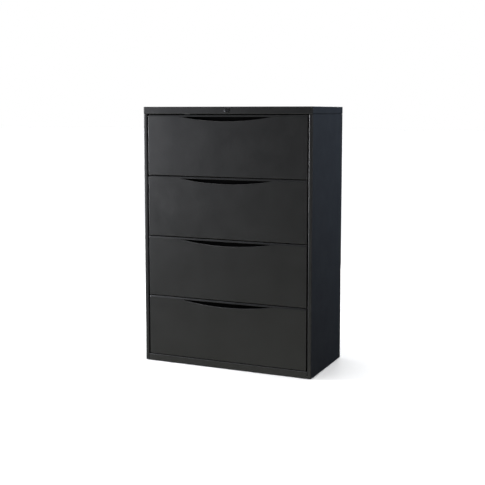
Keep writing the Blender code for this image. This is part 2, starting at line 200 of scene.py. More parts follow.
def zinc_plate():
    """Bright zinc on rolled steel: faint spangle, draw lines along Y and a straw tint in patches."""
    made, tree, shader, place = blank_material("bright_zinc")
    drawn = noise(tree, place, 300.0, 3.0, 0.6, (1.0, 0.02, 1.0))
    spangle = tree.add("ShaderNodeTexVoronoi", None, Vector=place, Scale=95.0).outputs["Color"]
    value = tree.add("ShaderNodeSeparateColor", None, Color=spangle).outputs[0]
    tint = remap(tree, noise(tree, place, 9.0, 4.0), 0.0, 1.0, 0.4, 0.7)
    colour = blend_colours(tree, tint, (0.44, 0.455, 0.48), (0.47, 0.45, 0.40))
    colour = blend_colours(tree, remap(tree, value, 0.0, 0.25, 0.0, 1.0), colour, (0.62, 0.63, 0.65))
    tree.feed(shader, "Base Color", colour)
    shader.inputs["Metallic"].default_value = 1.0
    tree.feed(shader, "Roughness", remap(tree, drawn, 0.26, 0.44))
    stack_bumps(tree, shader, [(value, 0.00004, 0.15), (drawn, 0.00005, 0.25)])
    return made


def black_nickel():
    """Lock face: dark plate over turned brass, with fine tool marks."""
    made, tree, shader, place = blank_material("black_nickel")
    fine = noise(tree, place, 1400.0, 3.0, 0.6)
    soft = noise(tree, place, 130.0, 3.0)
    colour = blend_colours(tree, remap(tree, soft, 0.0, 1.0), (0.060, 0.061, 0.066), (0.105, 0.105, 0.110))
    tree.feed(shader, "Base Color", colour)
    shader.inputs["Metallic"].default_value = 1.0
    tree.feed(shader, "Roughness", remap(tree, fine, 0.20, 0.34))
    stack_bumps(tree, shader, [(fine, 0.00003, 0.2)])
    return made


def mill_steel():
    """Counterweight: hot-rolled plate with mill scale and a bloom of rust."""
    made, tree, shader, place = blank_material("mill_steel")
    patch = noise(tree, place, 16.0, 6.0, 0.65)
    grit = noise(tree, place, 420.0, 3.0)
    scale = remap(tree, patch, 0.0, 1.0, 0.35, 0.65)
    colour = blend_colours(tree, scale, (0.045, 0.05, 0.06), (0.10, 0.095, 0.095))
    rust = remap(tree, noise(tree, place, 31.0, 6.0, 0.7), 0.0, 0.85, 0.60, 0.72)
    tree.feed(shader, "Base Color", blend_colours(tree, rust, colour, (0.16, 0.062, 0.022)))
    tree.feed(shader, "Metallic", remap(tree, rust, 0.75, 0.1, 0.0, 0.6))
    tree.feed(shader, "Roughness", remap(tree, grit, 0.45, 0.72))
    stack_bumps(tree, shader, [(patch, 0.0006, 0.25), (grit, 0.0002, 0.3)])
    return made


def moulded(name, dark, light, rough):
    """Moulded nylon with a spark-eroded texture."""
    made, tree, shader, place = blank_material(name)
    grain = noise(tree, place, 800.0, 3.0, 0.65)
    cloud = remap(tree, noise(tree, place, 45.0), 0.0, 1.0)
    tree.feed(shader, "Base Color", blend_colours(tree, cloud, dark, light))
    tree.feed(shader, "Roughness", remap(tree, grain, rough - 0.08, rough + 0.08))
    stack_bumps(tree, shader, [(grain, 0.00012, 0.35)])
    return made


def bearing_steel():
    """Polished balls under a thin, uneven film of grease."""
    made, tree, shader, place = blank_material("bearing_steel")
    film = noise(tree, place, 260.0, 2.0)
    colour = blend_colours(tree, remap(tree, film, 0.0, 1.0), (0.50, 0.51, 0.53), (0.62, 0.61, 0.57))
    tree.feed(shader, "Base Color", colour)
    shader.inputs["Metallic"].default_value = 1.0
    tree.feed(shader, "Roughness", remap(tree, film, 0.10, 0.22))
    return made


BLACK = powder_coat("black_powder_coat", (0.0060, 0.0062, 0.0069), (0.0086, 0.0089, 0.0097), 0.33, 0.39)
INSIDE = powder_coat("black_powder_coat_inside", (0.011, 0.011, 0.012), (0.016, 0.016, 0.017), 0.46, 0.56)
# Pocket paint: near-black with almost no specular, painted shade standing in for the dark void behind each
# crescent pull.
POCKET_PAINTED_SHADE = powder_coat("pocket_painted_shade", (0.0006, 0.0006, 0.0007), (0.0011, 0.0011, 0.0012), 0.70, 0.85)
POCKET_PAINTED_SHADE.node_tree.nodes["Principled BSDF"].inputs["Specular IOR Level"].default_value = 0.03
ZINC = zinc_plate()
LOCK_PLATE = black_nickel()
MILL = mill_steel()
NYLON = moulded("black_nylon", (0.014, 0.014, 0.015), (0.024, 0.024, 0.025), 0.55)
BEARING = bearing_steel()


# --- Mesh helpers -----------------------------------------------------------------------------


def show(name, mesh, material, body):
    """Puts a finished mesh in the scene, on its body. Flat sheet stays flat in the light up to its bends."""
    mesh.materials.clear()
    mesh.materials.append(material)
    mesh.shade_smooth()
    mesh.set_sharp_from_angle(angle=SHARP)
    smooth = solid_from(name, mesh, [("WEIGHTED_NORMAL", {"keep_sharp": True, "weight": 80})])
    made = bpy.data.objects.new(name, smooth)
    bpy.context.scene.collection.objects.link(made)
    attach(made, body)
    return made


def solid_from(name, mesh, steps):
    """The mesh as its modifiers leave it. steps are (modifier type, {setting: value})."""
    rough = bpy.data.objects.new(name + "_rough", mesh)
    bpy.context.scene.collection.objects.link(rough)
    for kind, settings in steps:
        modifier = rough.modifiers.new(kind.lower(), kind)
        for key, value in settings.items():
            setattr(modifier, key, value)
    graph = bpy.context.evaluated_depsgraph_get()
    made = bpy.data.meshes.new_from_object(rough.evaluated_get(graph), depsgraph=graph)
    bpy.data.objects.remove(rough, do_unlink=True)
    made.name = name
    return made


def bevel(width, segments=3, angle=30):
    """Rounds every edge sharper than angle."""
    return "BEVEL", {
        "width": width, "segments": segments, "limit_method": "ANGLE",
        "angle_limit": math.radians(angle), "use_clamp_overlap": True,
    }


def thicken(thickness=SHEET, offset=0.0):
    """Gives a surface its wall, half on each side where offset is 0."""
    return "SOLIDIFY", {"thickness": thickness, "offset": offset, "use_even_offset": True}


def rounded(path, radius, steps=BEND_STEPS):
    """path with each inner corner turned into an arc, and for each point whether it lies on a bend."""
    points, on_bend = [Vector(path[0])], [0.0]
    for before, corner, after in zip(path, path[1:], path[2:]):
        corner = Vector(corner)
        into = (corner - Vector(before)).normalized()
        out = (Vector(after) - corner).normalized()
        turn = into.angle_signed(out)
        back = radius * math.tan(abs(turn) / 2)
        start = corner - into * back
        side = Vector((into.y, -into.x)) if turn > 0 else Vector((-into.y, into.x))
        centre = start + side * radius
        for step in range(steps + 1):
            spoke = (start - centre).copy()
            spoke.rotate(Matrix.Rotation(-turn * step / steps, 2))
            points.append(centre + spoke)
            on_bend.append(1.0 if 0 < step < steps else 0.3)
    points.append(Vector(path[-1]))
    on_bend.append(0.0)
    return points, on_bend


def spread(low, high, count):
    """count numbers, evenly from low to high."""
    return [low + (high - low) * i / (count - 1) for i in range(count)]


ORDERS = {"XY": (0, 1, 2), "XZ": (0, 2, 1), "YZ": (2, 0, 1)}


def folded(name, path, plane, start, end, radius=PAINTED_BEND, thickness=SHEET, rows=2, steps=BEND_STEPS):
    """Folded sheet: the section path, on its middle surface, swept across plane from start to end."""
    points, on_bend = rounded(path, radius, steps)
    bm = bmesh.new()
    layer = bm.verts.layers.float.new("bend")
    lines = []
    for w in spread(start, end, rows):
        line = []
        for (u, v), mark in zip(points, on_bend):
            vertex = bm.verts.new([(u, v, w)[index] for index in ORDERS[plane]])
            vertex[layer] = mark
            line.append(vertex)
        lines.append(line)
    for first, second in zip(lines, lines[1:]):
        for i in range(len(first) - 1):
            bm.faces.new((first[i], first[i + 1], second[i + 1], second[i]))
    bmesh.ops.recalc_face_normals(bm, faces=bm.faces)
    mesh = bpy.data.meshes.new(name)
    bm.to_mesh(mesh)
    bm.free()
    return solid_from(name, mesh, [thicken(thickness), bevel(thickness * SHEARED_EDGE, 2, 60)])


def open_box(name, low, high, open_towards, radius, rim=0.0, steps=BEND_STEPS, thickness=SHEET):
    """Folded box with one side open, between its outer corners. rim turns its edge inwards."""
    inset = Vector([thickness / 2] * 3)
    low, high = Vector(low) + inset, Vector(high) - inset
    bm = bmesh.new()
    place = Matrix.Translation((low + high) / 2) @ Matrix.Diagonal((*(high - low), 1))
    bmesh.ops.create_cube(bm, size=1, matrix=place)
    lid = max(bm.faces, key=lambda face: face.normal.dot(Vector(open_towards)))
    if rim:
        bmesh.ops.inset_individual(bm, faces=[lid], thickness=rim)
    bmesh.ops.delete(bm, geom=[lid], context="FACES_ONLY")
    mesh = bpy.data.meshes.new(name)
    bm.to_mesh(mesh)
    bm.free()
    return solid_from(
        name, mesh, [bevel(radius, steps), thicken(thickness), bevel(thickness * SHEARED_EDGE, 2, 60)]
    )


def block(name, low, high, edge=0.0004, segments=2):
    """Small bar with eased edges, between two corners."""
    low, high = Vector(low), Vector(high)
    bm = bmesh.new()
    place = Matrix.Translation((low + high) / 2) @ Matrix.Diagonal((*(high - low), 1))
    bmesh.ops.create_cube(bm, size=1, matrix=place)
    mesh = bpy.data.meshes.new(name)
    bm.to_mesh(mesh)
    bm.free()
    return solid_from(name, mesh, [bevel(edge, segments)])


def lathe(name, profile, place, along="Y", steps=48):
    """Turned solid. profile is a loop of (radius, distance along the axis), or has both ends on the axis."""
    axis = {"Y": Vector((0, 1, 0)), "Z": Vector((0, 0, 1))}[along]
    bm = bmesh.new()
    line = [bm.verts.new(Vector((radius, 0, 0)) + axis * distance) for radius, distance in profile]
    pairs = list(zip(line, line[1:]))
    if profile[0][0] > 0:
        pairs.append((line[-1], line[0]))
    edges = [bm.edges.new(pair) for pair in pairs]
    bmesh.ops.spin(
        bm, geom=line + edges, cent=(0, 0, 0), axis=axis, angle=math.tau, steps=steps, use_merge=True
    )
    bmesh.ops.remove_doubles(bm, verts=bm.verts, dist=0.000005)
    bmesh.ops.recalc_face_normals(bm, faces=bm.faces)
    bmesh.ops.translate(bm, verts=bm.verts, vec=place)
    mesh = bpy.data.meshes.new(name)
    bm.to_mesh(mesh)
    bm.free()
    return mesh


def joined(name, meshes):
    """One mesh from several."""
    bm = bmesh.new()
    for mesh in meshes:
        bm.from_mesh(mesh)
    made = bpy.data.meshes.new(name)
    bm.to_mesh(made)
    bm.free()
    return made


# --- Geometry Nodes ---------------------------------------------------------------------------


def geometry_tree(name, sizes):
    """A geometry tree with named inputs. sizes is {input name: (kind, default)}."""
    group = bpy.data.node_groups.new(name, "GeometryNodeTree")
    group.interface.new_socket("Geometry", in_out="OUTPUT", socket_type="NodeSocketGeometry")
    for label, (kind, default) in sizes.items():
        socket = group.interface.new_socket(label, in_out="INPUT", socket_type=f"NodeSocket{kind}")
        socket.default_value = default
    material = group.interface.new_socket("Material", in_out="INPUT", socket_type="NodeSocketMaterial")
    material.default_value = None
    tree = Tree(group)
    return tree, tree.add("NodeGroupInput"), tree.add("NodeGroupOutput")


def close_tree(tree, given, result, geometry):
    """Ends a tree: real meshes in place of instances, in the finish that was given."""
    real = tree.add("GeometryNodeRealizeInstances", None, Geometry=geometry)
    painted = tree.add("GeometryNodeSetMaterial", None, Geometry=real, Material=given.outputs["Material"])
    tree.feed(result, "Geometry", painted)
    return tree.tree


def sum_up(tree, operation, first, second):
    """One step of arithmetic on two inputs."""
    node = tree.add("ShaderNodeMath", {"operation": operation})
    tree.feed(node, 0, first)
    tree.feed(node, 1, second)
    return node.outputs[0]


def vector(tree, x=0.0, y=0.0, z=0.0):
    return tree.add("ShaderNodeCombineXYZ", None, X=x, Y=y, Z=z).outputs[0]


def slotted_sheet_tree():
    """Upright strip of sheet in the YZ plane with one column of round-ended slots in it."""
    tree, given, result = geometry_tree("slotted_sheet", {
        "Width": ("Float", 0.04), "Height": ("Float", 1.0), "Thickness": ("Float", SHEET),
        "Slot Width": ("Float", 0.004), "Slot Height": ("Float", 0.014), "Slots": ("Int", 10),
        "Pitch": ("Float", 0.025), "First": ("Float", 0.02), "Aside": ("Float", 0.0),
    })
    out = given.outputs
    rectangle = "GeometryNodeCurvePrimitiveQuadrilateral"
    plate = tree.add(rectangle, None, Width=out["Width"], Height=out["Height"])
    middle = sum_up(tree, "MULTIPLY", out["Height"], 0.5)
    plate = tree.add("GeometryNodeTransform", None, Geometry=plate, Translation=vector(tree, 0.0, middle))
    slot = tree.add(rectangle, None, Width=out["Slot Width"], Height=out["Slot Height"])
    fillet = tree.add("GeometryNodeFilletCurve", None, Curve=slot)
    if "Mode" in fillet.inputs:
        fillet.inputs["Mode"].default_value = "Poly"
    else:
        fillet.mode = "POLY"
    tree.feed(fillet, "Count", 3)
    tree.feed(fillet, "Radius", sum_up(tree, "MULTIPLY", out["Slot Width"], 0.49))
    step = vector(tree, 0.0, out["Pitch"])
    start = vector(tree, out["Aside"], out["First"])
    line = tree.add(
        "GeometryNodeMeshLine", {"mode": "OFFSET"}, Count=out["Slots"], Start_Location=start, Offset=step
    )
    holes = tree.add("GeometryNodeInstanceOnPoints", None, Points=line, Instance=fillet)
    holes = tree.add("GeometryNodeRealizeInstances", None, Geometry=holes)
    outline = tree.add("GeometryNodeJoinGeometry")
    tree.feed(outline, 0, plate)
    tree.feed(outline, 0, holes)
    flat = tree.add("GeometryNodeFillCurve", None, Curve=outline)
    far = tree.add("GeometryNodeExtrudeMesh", None, Mesh=flat, Offset_Scale=out["Thickness"])
    tree.feed(far, "Individual", False)
    near = tree.add("GeometryNodeFlipFaces", None, Mesh=flat)
    both = tree.add("GeometryNodeJoinGeometry")
    tree.feed(both, 0, far.outputs[0])
    tree.feed(both, 0, near)
    shell = tree.add("GeometryNodeMergeByDistance", None, Geometry=both, Distance=0.00001)
    quarter = math.radians(90)
    stood = tree.add("GeometryNodeTransform", None, Geometry=shell, Rotation=(quarter, 0.0, quarter))
    return close_tree(tree, given, result, stood)


def row_tree():
    """A row of low domes, for rivets, or of whole balls where Dome is 1."""
    tree, given, result = geometry_tree("row_of_heads", {
        "Start": ("Vector", (0, 0, 0)), "Step": ("Vector", (0.05, 0, 0)), "Count": ("Int", 4),
        "Radius": ("Float", RIVET), "Dome": ("Float", 0.45), "Turn": ("Rotation", (0, 0, 0)),
    })
    out = given.outputs
    ball = tree.add("GeometryNodeMeshUVSphere", None, Segments=16, Rings=8, Radius=out["Radius"])
    head = tree.add("GeometryNodeTransform", None, Geometry=ball, Scale=vector(tree, 1.0, 1.0, out["Dome"]))
    line = tree.add(
        "GeometryNodeMeshLine", {"mode": "OFFSET"}, Count=out["Count"],
        Start_Location=out["Start"], Offset=out["Step"],
    )
    heads = tree.add(
        "GeometryNodeInstanceOnPoints", None, Points=line, Instance=head, Rotation=out["Turn"]
    )
    return close_tree(tree, given, result, heads)


def thread_tree():
    """Screw thread: a three-sided rib that climbs a stem as a helix."""
    tree, given, result = geometry_tree("screw_thread", {
        "Radius": ("Float", 0.005), "Length": ("Float", 0.03), "Pitch": ("Float", THREAD_PITCH),
        "Rib": ("Float", 0.0006),
    })
    out = given.outputs
    turns = sum_up(tree, "DIVIDE", out["Length"], out["Pitch"])
    helix = tree.add(
        "GeometryNodeCurveSpiral", None, Resolution=20, Rotations=turns,
        Start_Radius=out["Radius"], End_Radius=out["Radius"], Height=out["Length"],
    )
    rib = tree.add("GeometryNodeCurvePrimitiveCircle", None, Resolution=3, Radius=out["Rib"])
    swept = tree.add("GeometryNodeCurveToMesh", None, Curve=helix, Profile_Curve=rib)
    tree.feed(swept, "Fill Caps", True)
    return close_tree(tree, given, result, swept)


def beads_tree():
    """Stiffening beads pressed into sheet: long round-ended ribs side by side."""
    tree, given, result = geometry_tree("pressed_beads", {
        "Start": ("Vector", (0, 0, 0)), "Step": ("Vector", (0.1, 0, 0)), "Count": ("Int", 5),
        "Length": ("Float", 0.3), "Width": ("Float", 0.012), "Height": ("Float", 0.0016),
    })
    out = given.outputs
    half = sum_up(tree, "MULTIPLY", out["Width"], 0.5)
    straight = sum_up(tree, "SUBTRACT", out["Length"], out["Width"])
    spine = tree.add("GeometryNodeCurvePrimitiveLine", None, End=vector(tree, 0.0, straight))
    spine = tree.add("GeometryNodeResampleCurve", None, Curve=spine, Count=3)
    ring = tree.add("GeometryNodeCurvePrimitiveCircle", None, Resolution=12, Radius=half)
    tube = tree.add("GeometryNodeCurveToMesh", None, Curve=spine, Profile_Curve=ring)
    tree.feed(tube, "Fill Caps", False)
    cap = tree.add("GeometryNodeMeshUVSphere", None, Segments=12, Rings=8, Radius=half)
    near_cap = tree.add("GeometryNodeTransform", None, Geometry=cap, Rotation=(math.radians(90), 0.0, 0.0))
    along = vector(tree, 0.0, straight)
    far_cap = tree.add("GeometryNodeTransform", None, Geometry=near_cap, Translation=along)
    whole = tree.add("GeometryNodeJoinGeometry")
    for part in (tube, near_cap, far_cap):
        tree.feed(whole, 0, part)
    flatten = sum_up(tree, "DIVIDE", out["Height"], half)
    flat = tree.add("GeometryNodeTransform", None, Geometry=whole, Scale=vector(tree, 1.0, 1.0, flatten))
    line = tree.add(
        "GeometryNodeMeshLine", {"mode": "OFFSET"}, Count=out["Count"],
        Start_Location=out["Start"], Offset=out["Step"],
    )
    beads = tree.add("GeometryNodeInstanceOnPoints", None, Points=line, Instance=flat)
    return close_tree(tree, given, result, beads)


SLOTTED = slotted_sheet_tree()
ROW = row_tree()
THREAD = thread_tree()
BEADS = beads_tree()


def grown(name, tree, material, **values):
    """The plain mesh that a tree makes from these values."""
    seed = bpy.data.objects.new(name + "_seed", bpy.data.meshes.new(name + "_seed"))
    bpy.context.scene.collection.objects.link(seed)
    modifier = seed.modifiers.new("nodes", "NODES")
    modifier.node_group = tree
    sockets = {
        item.name: item.identifier
        for item in tree.interface.items_tree
        if item.item_type == "SOCKET" and item.in_out == "INPUT"
    }
    modifier[sockets["Material"]] = material
    for key, value in values.items():
        modifier[sockets[key.replace("_", " ")]] = value
    graph = bpy.context.evaluated_depsgraph_get()
    mesh = bpy.data.meshes.new_from_object(seed.evaluated_get(graph), depsgraph=graph)
    seed.modifiers.remove(modifier)
    bpy.data.objects.remove(seed, do_unlink=True)
    mesh.name = name
    return mesh


FACING = {"back": (math.radians(90), 0.0, 0.0), "up": (0.0, 0.0, 0.0)}


def heads(name, start, step, count, facing, radius, dome, material):
    """A row of count domes from start, step apart."""
    return grown(
        name, ROW, material, Start=start, Step=step, Count=count,
        Radius=radius, Dome=dome, Turn=FACING[facing],
    )


# --- Case -------------------------------------------------------------------------------------


def top_cap():
    """Folded cap with a deep skirt, its lower edge turned in, pierced for the lock."""
    low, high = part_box("top_cap")
    lock_low, lock_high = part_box("lock_housing")
    shell = open_box("top_cap_shell", low, high, (0, 0, -1), PAINTED_BEND, CAP_RIM, 6)
    hole = lathe(
        "lock_hole", [(0, -0.02), (LOCK_HOLE, -0.02), (LOCK_HOLE, 0.02), (0, 0.02)],
        ((lock_low.x + lock_high.x) / 2, low.y, (lock_low.z + lock_high.z) / 2),
    )
    cutter = bpy.data.objects.new("lock_hole_cutter", hole)
    bpy.context.scene.collection.objects.link(cutter)
    cut = solid_from("top_cap_cut", shell, [("BOOLEAN", {"operation": "DIFFERENCE", "object": cutter})])
    bpy.data.objects.remove(cutter, do_unlink=True)
    made = show("top_cap_painted", cut, BLACK, "cabinet")
    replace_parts(made, "top_cap")


def side_panels():
    """Each side is one sheet, folded round to make the front post and the rear flange.

    A joggled tongue stands up from it inside the cap and closes the seam.
    """
    for hand, side in (("left", -1), ("right", 1)):
        node = f"side_panel_{hand}"
        low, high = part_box(node)
        skin = SHEET / 2
        outer, inner = (low.x, high.x) if side < 0 else (high.x, low.x)
        wall, post = outer - side * skin, inner + side * skin
        path = [
            (post, low.y + 0.025), (post, low.y + skin), (wall, low.y + skin),
            (wall, high.y - skin), (outer - side * 0.016, high.y - skin),
        ]
        panel = folded(f"{node}_panel", path, "XY", low.z, high.z, SIDE_BEND, rows=6)
        joggle = wall - side * 2 * SHEET
        path = [
            (wall, high.z - 0.018), (wall, high.z - 0.012),
            (joggle, high.z - 0.004), (joggle, high.z + 0.014),
        ]
        tongue = folded(f"{node}_tongue", path, "XZ", low.y + 0.004, high.y - 0.004, SMALL_BEND)
        tongue.transform(Matrix.Translation((-side * SHEET * 1.05, 0, 0)))
        mesh = joined(f"{node}_painted", [panel, tongue])
        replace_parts(show(f"{node}_painted", mesh, BLACK, "cabinet"), node)


def back_and_base():
    """Back sheet, let in and beaded so that it doesn't drum, and the rail under the drawers."""
    skin = SHEET / 2
    low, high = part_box("back_panel")
    face = high.y - BACK_INSET
    path = [
        (high.y - 0.015, low.z + skin), (face - skin, low.z + skin),
        (face - skin, high.z - skin), (high.y - 0.013, high.z - skin),
    ]
    panel = folded("back_panel_sheet", path, "YZ", low.x, high.x, SMALL_BEND, rows=6)
    joggle = high.y - 4 * SHEET
    path = [(joggle, high.z - 0.010), (joggle, high.z + 0.014)]
    tongue = folded("back_panel_tongue", path, "YZ", low.x + 0.02, high.x - 0.02, SMALL_BEND)
    mesh = joined("back_panel_painted", [panel, tongue])
    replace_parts(show("back_panel_painted", mesh, BLACK, "cabinet"), "back_panel")
    beads = grown(
        "back_beads", BEADS, BLACK, Start=(low.x + 0.13, 0.0, 0.0), Step=(BACK_BEAD_STEP, 0.0, 0.0),
        Count=BACK_BEADS, Length=high.z - low.z - 0.22, Width=BACK_BEAD_WIDTH, Height=BACK_INSET * 0.9,
    )
    beads.transform(Matrix.Translation((0, face, low.z + 0.12)) @ Matrix.Rotation(math.radians(90), 4, "X"))
    show("back_beads", beads, BLACK, "cabinet")
    low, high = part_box("base_rail")
    path = [
        (high.y, low.z + skin), (low.y + skin, low.z + skin),
        (low.y + skin, high.z - skin), (high.y, high.z - skin),
    ]
    mesh = folded("base_rail_painted", path, "YZ", low.x, high.x, 0.0024, rows=6)
    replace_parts(show("base_rail_painted", mesh, BLACK, "cabinet"), "base_rail")


def uprights():
    """Slotted posts: a web with a column of slots, and a folded flange down each edge."""
    for row in ("front", "rear"):
        for hand, side in (("left", -1), ("right", 1)):
            node = f"upright_{row}_{hand}"
            low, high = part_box(node)
            web = high.x if side < 0 else low.x
            tips = low.x if side < 0 else high.x
            depth = high.y - low.y
            height = high.z - low.z
            bend = 0.0022
            sheet = grown(
                f"{node}_web", SLOTTED, ZINC, Width=depth - 2 * bend, Height=height,
                Slots=int((height - 0.03) / 0.025), First=0.02,
            )
            inner_face = web - SHEET if side < 0 else web
            sheet.transform(Matrix.Translation((inner_face, (low.y + high.y) / 2, low.z)))
            middle = web + side * SHEET / 2
            parts = [sheet]
            for edge, inward in ((low.y, 1), (high.y, -1)):
                skin = edge + inward * SHEET / 2
                path = [(tips, skin), (middle, skin), (middle, edge + inward * (bend + 0.00005))]
                parts.append(folded(f"{node}_edge", path, "XY", low.z, high.z, 0.0015, steps=4))
            mesh = joined(f"{node}_slotted", parts)
            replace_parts(show(f"{node}_slotted", mesh, ZINC, "cabinet"), node)


def case_fasteners():
    """Pop rivets round the back sheet."""
    low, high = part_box("back_panel")
    face = high.y - BACK_INSET
    rivets = []
    for x in (low.x + 0.010, high.x - 0.010):
        start = (x, face, low.z + 0.04)
        rivets.append(heads("rivets", start, (0, 0, 0.1328), 10, "back", RIVET, RIVET_DOME, BLACK))
    for z in (low.z + 0.012, high.z - 0.012):
        start = (low.x + 0.11, face, z)
        rivets.append(heads("rivets", start, (0.132, 0, 0), 6, "back", RIVET, RIVET_DOME, BLACK))
    show("back_rivets", joined("back_rivets", rivets), BLACK, "cabinet")


def painted_nodes():
    """Nodes whose own shape is right: they keep it and take a finish."""
    finishes = {"bottom_pan": INSIDE, "counterweight": MILL}
    for part in ("cam", "link", "bar"):
        finishes[f"lock_{part}"] = ZINC
    for number in DRAWERS:
        for kind in ("outer", "middle", "inner"):
            for hand in HANDS:
                finishes[f"slide_{kind}_{number}_{hand}"] = ZINC
        finishes[f"hang_rail_{number}"] = ZINC
    for name, material in finishes.items():
        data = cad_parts[name].data
        data.materials.clear()
        data.materials.append(material)


# --- Drawers ----------------------------------------------------------------------------------


def crescent_drop(x):
    """How far the lower edge of the pull hangs below its straight top edge at x."""
    radius = PULL_WIDTH**2 / (8 * PULL_DROP) + PULL_DROP / 2
    half = PULL_WIDTH / 2
    if abs(x) >= half:
        return 0.0
    return math.sqrt(radius**2 - x**2) - (radius - PULL_DROP)


def front_column(bm, x, low, high):
    """One column of the front's grid: the lower face up into its rolled edge, and the lip above its hem.

    Beside the pull the two meet at the crease, so the steps of the roll and the hem fall on one vertex.
    """
    face, crease = low.y, high.z - PULL_LIP
    drop = crescent_drop(x)
    is_tip = abs(abs(x) - PULL_WIDTH / 2) < 1e-6
    roll = PULL_ROLL * min(1.0, drop / (0.5 * PULL_DROP))
    lower = [bm.verts.new((x, face, z)) for z in spread(low.z, crease - drop - roll, FACE_ROWS)]
    lip = []
    if drop > 0:
        for step in range(1, ROLL_STEPS + 1):
            turn = math.radians(90) * step / ROLL_STEPS
            y, z = face + roll * (1 - math.cos(turn)), crease - drop - roll * (1 - math.sin(turn))
            lower.append(bm.verts.new((x, y, z)))
        lower.append(bm.verts.new((x, face + PULL_FLANGE, crease - drop)))
        lip.append(bm.verts.new((x, face + PULL_FLANGE, crease)))
        for step in range(HEM_STEPS):
            turn = math.radians(90) * step / HEM_STEPS
            y, z = face + LIP_HEM * (1 - math.sin(turn)), crease + LIP_HEM * (1 - math.cos(turn))
            lip.append(bm.verts.new((x, y, z)))
    else:
        tip = lower[-1]
        deep = bm.verts.new((x, face + PULL_FLANGE, crease)) if is_tip else tip
        lower += [tip] * ROLL_STEPS + [deep]
        lip += [deep] + [tip] * HEM_STEPS
    for rise in spread(LIP_HEM / PULL_LIP, 1.0, LIP_ROWS):
        lip.append(bm.verts.new((x, face + LIP_LEAN * rise**2, crease + PULL_LIP * rise)))
    return lower, lip


def drawer_front(number):
    """One folded sheet: face, crescent opening with its rolled edge, leaning lip, and returns all round."""
    node = f"drawer_front_{number}"
    low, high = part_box(node)
    half = PULL_WIDTH / 2
    outside = spread(low.x, -half, 7)
    inside = spread(-half, half, PULL_COLUMNS + 1)[1:-1]
    bm = bmesh.new()
    xs = outside + inside + [-x for x in reversed(outside)]
    columns = [front_column(bm, x, low, high) for x in xs]
    for i in range(len(xs) - 1):
        through = abs(xs[i] + xs[i + 1]) / 2 < half
        spans = (slice(0, None if through else FACE_ROWS), slice(0 if through else HEM_STEPS, None))
        for part, kept in enumerate(spans):
            a, b = columns[i][part][kept], columns[i + 1][part][kept]
            for j in range(len(a) - 1):
                corners = list(dict.fromkeys((a[j], b[j], b[j + 1], a[j + 1])))
                if len(corners) > 2:
                    bm.faces.new(corners)
    edge_weight = bm.edges.layers.float.new("bevel_weight_edge")
    bottom = [column[0][0] for column in columns]
    top = [column[1][-1] for column in columns]
    ends = [list(dict.fromkeys(lower + lip)) for lower, lip in (columns[0], columns[-1])]
    rim = set()
    for line in (bottom, top, *ends):
        rim.update(bm.edges.get(pair) for pair in zip(line, line[1:]))
    for depth, inwards in ((high.y, 0.0), (None, FRONT_RIM)):
        for edge in rim:
            edge[edge_weight] = 1.0
        grown_edges = bmesh.ops.extrude_edge_only(bm, edges=list(rim))["geom"]
        fresh = {item for item in grown_edges if isinstance(item, bmesh.types.BMVert)}
        rim = {
            item for item in grown_edges
            if isinstance(item, bmesh.types.BMEdge) and all(v in fresh for v in item.verts)
        }
        for vertex in fresh:
            if depth is not None:
                vertex.co.y = depth
            for axis in (0, 2):
                if abs(vertex.co[axis] - low[axis]) < 1e-6:
                    vertex.co[axis] += inwards
                elif abs(vertex.co[axis] - high[axis]) < 1e-6:
                    vertex.co[axis] -= inwards
    bmesh.ops.recalc_face_normals(bm, faces=bm.faces)
    bm.faces.ensure_lookup_table()
    if bm.faces[0].normal.y > 0:
        bmesh.ops.reverse_faces(bm, faces=bm.faces)
    mesh = bpy.data.meshes.new(node + "_cage")
    bm.to_mesh(mesh)
    bm.free()
    edge = {"width": FRONT_EDGE, "segments": 4, "limit_method": "WEIGHT", "use_clamp_overlap": False}
    solid = solid_from(f"{node}_painted", mesh, [("BEVEL", edge), thicken(SHEET, -1.0)])
    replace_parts(show(f"{node}_painted", solid, BLACK, f"drawer_{number}"), node)


def pull_cup(number):
    """The closed pocket behind the crescent, open to the front. Its near-black, almost unreflecting paint is
    painted shade for the dark hollow behind the pull.
    """
    node = f"pull_cup_{number}"
    low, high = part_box(node)
    mesh = open_box(f"{node}_formed", low, high, (0, -1, 0), 0.008, 0.0, 6)
    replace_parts(show(f"{node}_formed", mesh, POCKET_PAINTED_SHADE, f"drawer_{number}"), node)


